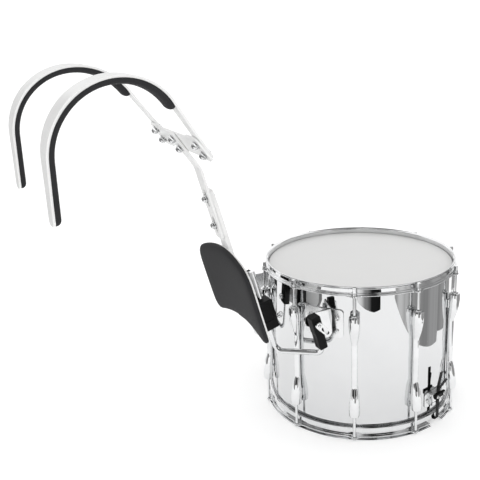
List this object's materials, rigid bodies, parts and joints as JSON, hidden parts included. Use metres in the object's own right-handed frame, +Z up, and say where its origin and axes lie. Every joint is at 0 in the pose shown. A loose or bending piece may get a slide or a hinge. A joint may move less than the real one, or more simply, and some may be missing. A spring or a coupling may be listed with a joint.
{
  "type": "marching snare drum with carrier",
  "caption": "Chrome-shelled marching snare drum with bullet lugs, snares and throw-off, clamped by bent rods to a white shoulder carrier with belly pad and padded arms.",
  "frame": {"origin": "on the floor, below the middle of the whole instrument's bounding box, with the drum standing on the rim of its snare-side hoop", "axes": "+Z up along the drum's axis, +X the way the wearer faces, from the carrier towards the drum, +Y the wearer's left"},
  "size_m": [0.8024, 0.4004, 0.7],
  "materials": {
    "chrome_steel": "polished chrome plate on steel",
    "plated_alloy": "polished chrome plate on die-cast light alloy",
    "drum_film": "coated white polyester film",
    "white_coated_alloy": "satin white powder coat",
    "black_plastic": "moulded black plastic",
    "black_foam": "closed-cell foam with a knitted face",
    "ribbon": "woven black ribbon"
  },
  "bodies": {
    "drum": {"shell": "chrome_steel", "batter_head": "drum_film", "snare_side_head": "drum_film", "batter_hoop": "chrome_steel", "snare_side_hoop": "chrome_steel", "lug_01": "plated_alloy", "lug_02": "plated_alloy", "lug_03": "plated_alloy", "lug_04": "plated_alloy", "lug_05": "plated_alloy", "lug_06": "plated_alloy", "lug_07": "plated_alloy", "lug_08": "plated_alloy", "lug_09": "plated_alloy", "lug_10": "plated_alloy", "batter_rod_01": "chrome_steel", "batter_rod_02": "chrome_steel", "batter_rod_03": "chrome_steel", "batter_rod_04": "chrome_steel", "batter_rod_05": "chrome_steel", "batter_rod_06": "chrome_steel", "batter_rod_07": "chrome_steel", "batter_rod_08": "chrome_steel", "batter_rod_09": "chrome_steel", "batter_rod_10": "chrome_steel", "snare_wires": "chrome_steel", "butt_plate": "chrome_steel", "butt_clamp": "black_plastic", "butt_strap": "ribbon", "strainer_base": "chrome_steel", "strainer_strap": "ribbon", "carrier_bracket_left": "chrome_steel", "carrier_bracket_right": "chrome_steel"},
    "strainer_arm": {"strainer_lever": "chrome_steel"},
    "strainer_carriage": {"strainer_slide": "chrome_steel"},
    "strainer_adjuster": {"strainer_knob": "chrome_steel"},
    "carrier_rods": {"rod_clamp_left": "black_plastic", "rod_clamp_right": "black_plastic", "j_rod_left": "chrome_steel", "j_rod_right": "chrome_steel"},
    "left_clamp_arm": {"clamp_lever_left": "chrome_steel"},
    "right_clamp_arm": {"clamp_lever_right": "chrome_steel"},
    "carrier_frame": {"rod_block_left": "black_plastic", "rod_block_right": "black_plastic", "rod_guide_left": "chrome_steel", "rod_guide_right": "chrome_steel", "belly_plate": "white_coated_alloy", "belly_pad": "black_foam", "lower_spine": "white_coated_alloy", "stem_bolt_lower": "chrome_steel", "stem_bolt_upper": "chrome_steel"},
    "left_thumb_screw": {"thumb_screw_left": "chrome_steel"},
    "right_thumb_screw": {"thumb_screw_right": "chrome_steel"},
    "crest": {"upper_stem": "white_coated_alloy", "yoke": "white_coated_alloy"},
    "left_arm": {"shoulder_arm_left": "white_coated_alloy", "arm_pad_left": "black_foam"},
    "right_arm": {"shoulder_arm_right": "white_coated_alloy", "arm_pad_right": "black_foam"}
  },
  "joints": [
    {"name": "strainer_throw", "type": "hinge", "parent": "drum", "child": "strainer_arm", "pos_m": [0.14912, 0.18983, 0.07], "axis": [-0.9511, -0.309, 0], "range_deg": [0, 95]},
    {"name": "strainer_drop", "type": "slide", "parent": "drum", "child": "strainer_carriage", "axis": [0, 0, 1], "range_m": [-0.0095, 0], "deforming": ["strainer_strap"]},
    {"name": "strainer_tension", "type": "hinge", "parent": "drum", "child": "strainer_adjuster", "pos_m": [0.15329, 0.17699, 0.13], "axis": [0, 0, 1], "continuous": true},
    {"name": "carrier_tilt", "type": "hinge", "parent": "drum", "child": "carrier_rods", "pos_m": [0.03166, 0, 0.24546], "axis": [0, 1, 0], "range_deg": [-6, 20]},
    {"name": "left_clamp_turn", "type": "hinge", "parent": "carrier_rods", "child": "left_clamp_arm", "pos_m": [0.03166, 0.1445, 0.24546], "axis": [0, 1, 0], "range_deg": [-90, 30]},
    {"name": "right_clamp_turn", "type": "hinge", "parent": "carrier_rods", "child": "right_clamp_arm", "pos_m": [0.03166, -0.1445, 0.24546], "axis": [0, 1, 0], "range_deg": [-90, 30]},
    {"name": "carrier_height", "type": "slide", "parent": "carrier_rods", "child": "carrier_frame", "axis": [-0.2588, 0, 0.9659], "range_m": [-0.028, 0.055]},
    {"name": "left_thumb_turn", "type": "hinge", "parent": "carrier_frame", "child": "left_thumb_screw", "pos_m": [0.01608, 0.04, 0.23403], "axis": [0.9659, 0, 0.2588], "continuous": true},
    {"name": "right_thumb_turn", "type": "hinge", "parent": "carrier_frame", "child": "right_thumb_screw", "pos_m": [0.01608, -0.04, 0.23403], "axis": [0.9659, 0, 0.2588], "continuous": true},
    {"name": "stem_height", "type": "slide", "parent": "carrier_frame", "child": "crest", "axis": [-0.2588, 0, 0.9659], "range_m": [-0.012, 0.012]},
    {"name": "left_arm_width", "type": "slide", "parent": "crest", "child": "left_arm", "axis": [0, 1, 0], "range_m": [-0.012, 0.004]},
    {"name": "right_arm_width", "type": "slide", "parent": "crest", "child": "right_arm", "axis": [0, -1, 0], "range_m": [-0.012, 0.004]}
  ],
  "couplings": [
    {"joint": "strainer_throw", "follows": "strainer_drop", "rad_per_m": -165.8}
  ]
}
